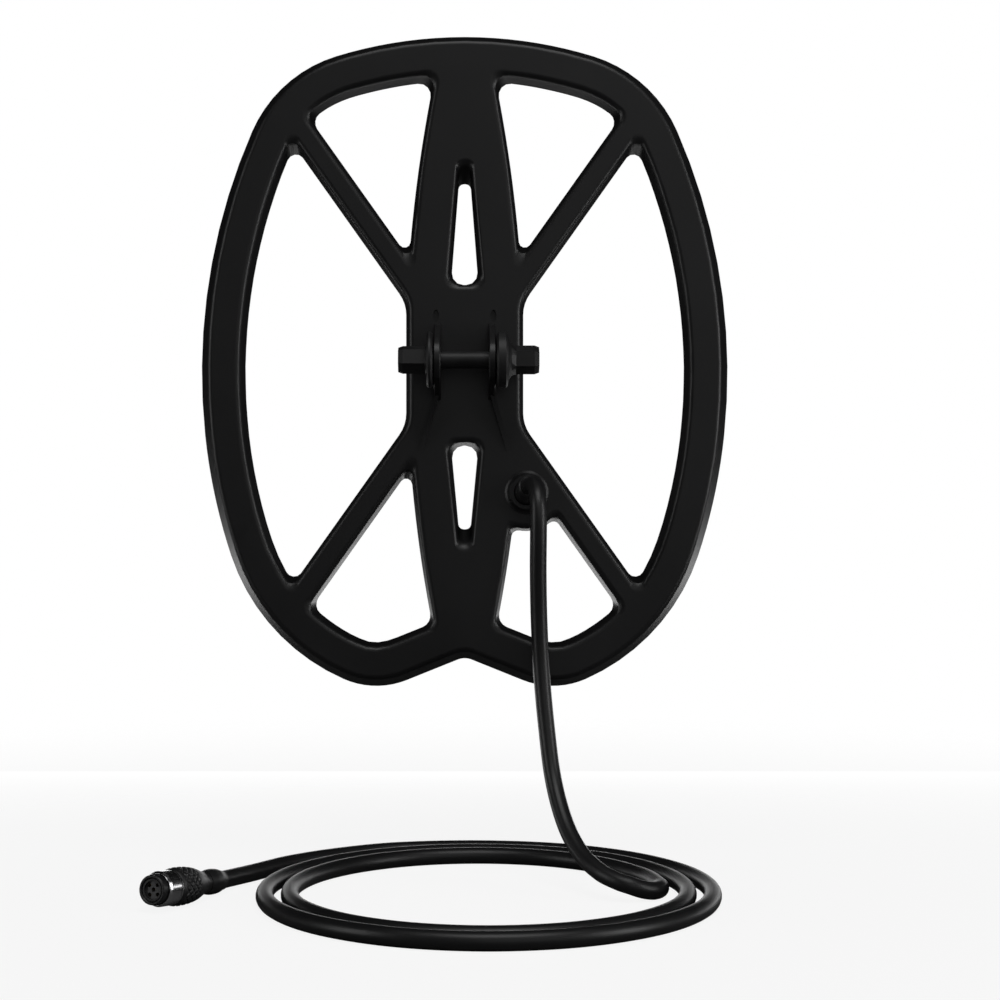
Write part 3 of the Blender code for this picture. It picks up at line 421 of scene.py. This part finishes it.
def threaded(name, points, diameter, material, steps=8, bevel=8):
    """A curve with a round bevel that runs smoothly through the points."""
    data = bpy.data.curves.new(name, "CURVE")
    data.dimensions = "3D"
    data.resolution_u = steps
    data.bevel_depth = diameter / 2
    data.bevel_resolution = bevel
    data.use_fill_caps = True
    spline = data.splines.new("BEZIER")
    spline.bezier_points.add(len(points) - 1)
    padded = [2 * points[0] - points[1], *points, 2 * points[-1] - points[-2]]
    for knot, before, here, after in zip(spline.bezier_points, padded, points, padded[2:]):
        into, out = (here - before).length, (after - here).length
        along = (after - before) / (into + out)
        knot.handle_left_type = knot.handle_right_type = "FREE"
        knot.co = here
        knot.handle_left = here - along * into / 3
        knot.handle_right = here + along * out / 3
    data.materials.append(material)
    piece = bpy.data.objects.new(name, data)
    bpy.context.scene.collection.objects.link(piece)
    return piece


cable = threaded("cable_jacketed", route, CABLE_DIAMETER, cable_jacket)
adopt(cable, "cable")

# %% [markdown]
# ## The plug
#
# A round plug with a plated coupling ring, a moulded grip and a bulb where the cable goes in. The
# ring and the grip are turned shapes with a small relief: a locating dimple pressed into the ring,
# and rows of raised diamonds round the front of the grip that give wet fingers a hold. Turning a
# profile and then pushing its points in or out by a formula makes both, and keeps the relief part
# of the surface.

# %% Turned pieces with a relief
ON_AXIS = 1e-5  # a point this near the axis has no direction to move in


def plug_place():
    """The plug's own frame, from the joint that its ring turns on: +Z runs back along its axis."""
    joints = frame["record"]["behaviour"]["joints"]
    joint = next(joint for joint in joints if joint["name"] == "coupling_ring_turn")
    turn = Vector(joint["axis"]).to_track_quat("Z", "Y").to_matrix().to_4x4()
    return Matrix.Translation(joint["pos_m"]) @ turn


def eased(stations, count):
    """A profile of height and radius through a few stations, at even heights, with soft bends."""
    first, last = stations[0][0], stations[-1][0]
    result = []
    for step in range(count + 1):
        height = first + (last - first) * step / count
        last_span = len(stations) - 2
        index = next((i for i in range(last_span) if height < stations[i + 1][0]), last_span)
        (low, start), (high, end) = stations[index], stations[index + 1]
        before = stations[max(index - 1, 0)]
        after = stations[min(index + 2, len(stations) - 1)]
        span = high - low
        slope_in = (end - before[1]) / (high - before[0]) * span
        slope_out = (after[1] - start) / (after[0] - low) * span
        t = (height - low) / span
        radius = (2 * t**3 - 3 * t**2 + 1) * start + (t**3 - 2 * t**2 + t) * slope_in
        radius += (3 * t**2 - 2 * t**3) * end + (t**3 - t**2) * slope_out
        result.append((height, radius))
    return result


def turned(name, profile, sides, material, relief=None, closed=False, angle=38.0):
    """A profile of height and radius turned about the plug's axis, moved by the relief."""
    mesh = bmesh.new()
    points = [mesh.verts.new((radius, 0.0, height)) for height, radius in profile]
    pairs = list(zip(points, points[1:])) + ([(points[-1], points[0])] if closed else [])
    edges = [mesh.edges.new(pair) for pair in pairs]
    bmesh.ops.spin(
        mesh,
        geom=points + edges,
        cent=(0, 0, 0),
        axis=(0, 0, 1),
        angle=math.tau,
        steps=sides,
        use_merge=True,
    )
    bmesh.ops.remove_doubles(mesh, verts=mesh.verts, dist=1e-6)
    if relief:
        for vert in mesh.verts:
            out = Vector((vert.co.x, vert.co.y, 0.0))
            if out.length > ON_AXIS:
                angle_round = math.atan2(vert.co.y, vert.co.x)
                vert.co += out.normalized() * relief(angle_round, vert.co.z, out.length)
    bmesh.ops.recalc_face_normals(mesh, faces=mesh.faces)
    bmesh.ops.transform(mesh, matrix=plug_place(), verts=mesh.verts)
    return shown(name, mesh, material, angle)


# Heights along the plug are measured back from the barrel's mouth.
GRIP_START, GRIP_NECK = 0.0122, 0.0235
DIAMONDS = 15  # round the grip
DIAMOND_LENGTH = 0.0034
DIAMOND_RELIEF = 0.00042  # how deep the grooves between them are
DIAMOND_SLOPE = 0.22  # how much of a diamond is its sloping side
RELIEF_IN = (0.0014, 0.0024)  # where the relief comes in, behind the grip's front
RELIEF_OUT = (0.0105, 0.0125)  # where it fades out
COLLAR_GAP = 0.0003


def soft_step(low, high, value):
    t = min(max((value - low) / (high - low), 0.0), 1.0)
    return t * t * (3 - 2 * t)


def diamonds(angle, height, radius):
    """Raised diamonds on the front half of the grip, that fade out towards its waist."""
    along = (height - GRIP_START) / DIAMOND_LENGTH
    around = angle * DIAMONDS / math.tau
    first = abs((around + along) % 1.0 - 0.5)
    second = abs((around - along) % 1.0 - 0.5)
    raised = soft_step(0.0, DIAMOND_SLOPE, 0.5 - max(first, second))
    back = height - GRIP_START
    inside = soft_step(*RELIEF_IN, back) * (1 - soft_step(*RELIEF_OUT, back))
    return DIAMOND_RELIEF * (raised - 1.0) * inside


def grip_profile():
    stations = [(0.0006, 0.0068), (0.0016, 0.00715), (0.0030, 0.00735), (0.0060, 0.00738)]
    stations += [(0.0100, 0.00715), (0.0140, 0.00655), (0.0175, 0.00560), (0.0200, 0.00475)]
    stations += [(0.0216, 0.00438), (GRIP_NECK, 0.00440)]
    outside = [(GRIP_START + height, radius) for height, radius in eased(stations, 96)]
    return [(GRIP_START, 0.0), (GRIP_START, 0.0063), *outside, (outside[-1][0], 0.0)]


def collar_profile():
    start = GRIP_START + GRIP_NECK + COLLAR_GAP
    stations = [(0.0, 0.00445), (0.0016, 0.00475), (0.0036, 0.00500), (0.0056, 0.00500)]
    stations += [(0.0080, 0.00480), (0.0100, 0.00430), (0.0115, 0.00395), (0.0125, 0.00385)]
    outside = [(start + height, radius) for height, radius in eased(stations, 32)]
    return [(outside[0][0], 0.0), *outside, (outside[-1][0], 0.0)]


grip = turned("plug_grip_moulded", grip_profile(), 180, grip_rubber, diamonds)
collar = turned("plug_collar_moulded", collar_profile(), 72, grip_rubber)
plug_grip = adopt(grip, "plug_grip")
plug_collar = adopt(collar, "plug_collar")
print("grip:", len(plug_grip.data.polygons), "faces; collar:", len(plug_collar.data.polygons))

# %% The ring, with its dimple
RING_RADIUS, RING_FRONT, RING_LENGTH, RING_BORE = 0.0067, 0.0033, 0.0110, 0.00595
RING_SKIN = 0.0002  # only the ring's outer surface, this deep, takes the dimple
DIMPLE_ANGLE, DIMPLE_HEIGHT = math.radians(-8.0), 0.0078
DIMPLE_RADIUS, DIMPLE_DEPTH = 0.00055, 0.00045


def dimple(angle, height, radius):
    if radius < RING_RADIUS - RING_SKIN:
        return 0.0
    turn = (angle - DIMPLE_ANGLE + math.pi) % math.tau - math.pi
    away = math.hypot(turn * radius, height - DIMPLE_HEIGHT)
    return -DIMPLE_DEPTH * (1 - soft_step(DIMPLE_RADIUS * 0.6, DIMPLE_RADIUS * 1.25, away))


def ring_profile():
    profile = [(RING_FRONT, RING_BORE), (RING_FRONT, RING_BORE + 0.00012)]
    profile += [(RING_FRONT + 0.0001, RING_BORE + 0.0002)]
    profile += [(RING_FRONT + 0.0012, RING_RADIUS - 0.0001), (RING_FRONT + 0.0014, RING_RADIUS)]
    profile += [(RING_FRONT + 0.0015 + 0.00015 * step, RING_RADIUS) for step in range(40)]
    profile += [(RING_LENGTH - 0.0003, RING_RADIUS - 0.00005), (RING_LENGTH, RING_RADIUS - 0.0004)]
    return profile + [(RING_LENGTH, RING_BORE)]


ring = turned(
    "coupling_ring_turned", ring_profile(), 240, plated_steel, dimple, closed=True, angle=30.0
)
coupling_ring = adopt(ring, "coupling_ring")
plug_body = smooth_copy("plug_body", barrel_plastic)
plug_insert = smooth_copy("plug_insert", insert_plastic)
contacts = [smooth_copy(f"contact_{number}", gold_plate) for number in range(1, 6)]

# %% The parts that stay as packed
packed_finishes = {
    "transmit_winding": winding_tape,
    "receive_winding": winding_tape,
    "junction_board": board_green,
    "tuning_capacitor": capacitor_dip,
    "gland_nut": nylon,
    "plug_seal": seal_rubber,
    "ring_clip": plated_steel,
    **core_jackets,
    **{f"{end}_lead_{letter}": tinned_wire for end in ("transmit", "receive") for letter in "ab"},
}
for node, material in packed_finishes.items():
    data = frame["nodes"][node].data
    data.materials.clear()
    data.materials.append(material)
print("packed pieces with a new finish:", len(packed_finishes))

# %% [markdown]
# ## Floor, light and background
#
# The object stands in front of white. The floor is a pale sheet that fades into the white
# background, so no horizon shows. White surroundings would fill black plastic with grey
# reflections, so the camera sees white while the object sees a dark floor and a nearly dark room,
# and its light comes from softboxes alone. A broad one in front gives the faces their faint grey,
# one overhead lights the upper edges, narrow strips at the sides draw thin highlights along the
# rounded edges, and a low card behind edges the cable on the floor.

# %% The floor
FLOOR_GLOW = 0.88  # how much of the floor's white doesn't depend on the lights
FLOOR_BOUNCE = 0.15  # its shade in reflections, which keeps it from lighting the black plastic
FADE_START, FADE_END = 0.22, 0.75  # how far from its middle the floor starts and ends its fade
ROOM_LIGHT = 0.004  # the room's light on the object


def floor():
    mesh = bmesh.new()
    bmesh.ops.create_grid(mesh, x_segments=2, y_segments=2, size=4.0)
    bmesh.ops.translate(mesh, verts=mesh.verts, vec=(0.0, 0.0, FLOOR))
    material, start, sockets = finish("pale_floor", (0.92, 0.92, 0.92), 0.8, Specular_IOR_Level=0.0)
    spot = place(start, shift=(0.0, 0.05, 0.0))
    away = start.node("ShaderNodeVectorMath", {"operation": "LENGTH"}, {0: spot}, output=1)
    fade = start.node(
        "ShaderNodeMapRange",
        {"interpolation_type": "SMOOTHSTEP"},
        {"Value": away, "From Min": FADE_START, "From Max": FADE_END},
    )
    shader = Tone(start.tree, material.node_tree.nodes["Principled BSDF"].outputs[0])
    glow = start.node("ShaderNodeEmission", None, {"Color": (1, 1, 1, 1), "Strength": 1.0})
    lit = start.node("ShaderNodeMixShader", None, {0: FLOOR_GLOW, 1: shader, 2: glow})
    dark = start.node("ShaderNodeBsdfDiffuse", None, {"Color": (*[FLOOR_BOUNCE] * 3, 1.0)})
    seen = start.node("ShaderNodeLightPath")
    near = start.node("ShaderNodeMixShader", None, {0: seen, 1: dark, 2: lit})
    clear = start.node("ShaderNodeBsdfTransparent")
    mixed = start.node("ShaderNodeMixShader", None, {0: fade, 1: near, 2: clear})
    output = material.node_tree.nodes["Material Output"]
    start.tree.links.new(mixed.socket, output.inputs["Surface"])
    piece = shown("floor", mesh, material)


floor()

# %% The background and the lights


def softbox(name, place, target, size, power):
    light = bpy.data.lights.new(name, "AREA")
    light.shape = "RECTANGLE"
    light.size, light.size_y = size
    light.energy = power
    item = bpy.data.objects.new(name, light)
    bpy.context.scene.collection.objects.link(item)
    item.location = place
    item.rotation_euler = (Vector(target) - Vector(place)).to_track_quat("-Z", "Y").to_euler()
    return item


world = bpy.data.worlds.new("white_studio")
bpy.context.scene.world = world
world.use_nodes = True
tree = world.node_tree
path = Tone(tree).node("ShaderNodeLightPath")
seen = Tone(tree).node("ShaderNodeBackground", None, {"Color": (1, 1, 1, 1), "Strength": 1.0})
room = {"Color": (1, 1, 1, 1), "Strength": ROOM_LIGHT}
around = Tone(tree).node("ShaderNodeBackground", None, room)
mixed = Tone(tree).node("ShaderNodeMixShader", None, {0: path, 1: around, 2: seen})
tree.links.new(mixed.socket, tree.nodes["World Output"].inputs["Surface"])
bpy.context.scene.view_settings.view_transform = "Standard"

softbox("front_wall", (0.7, -2.3, 0.7), (0.0, 0.0, -0.05), (2.4, 2.0), 4.6)
softbox("overhead", (0.1, -0.65, 1.2), (0.0, -0.05, -0.2), (1.0, 0.7), 6.0)
softbox("right_strip", (1.25, -0.50, 0.10), (0.0, 0.0, 0.0), (0.35, 1.2), 6.0)
softbox("left_strip", (-1.25, -0.50, 0.10), (0.0, 0.0, 0.0), (0.30, 1.2), 3.5)
low_card = softbox("low_card", (0.0, 0.33, -0.178), (0.0, 0.0, -0.178), (2.2, 0.07), 1.1)
low_card.visible_camera = False
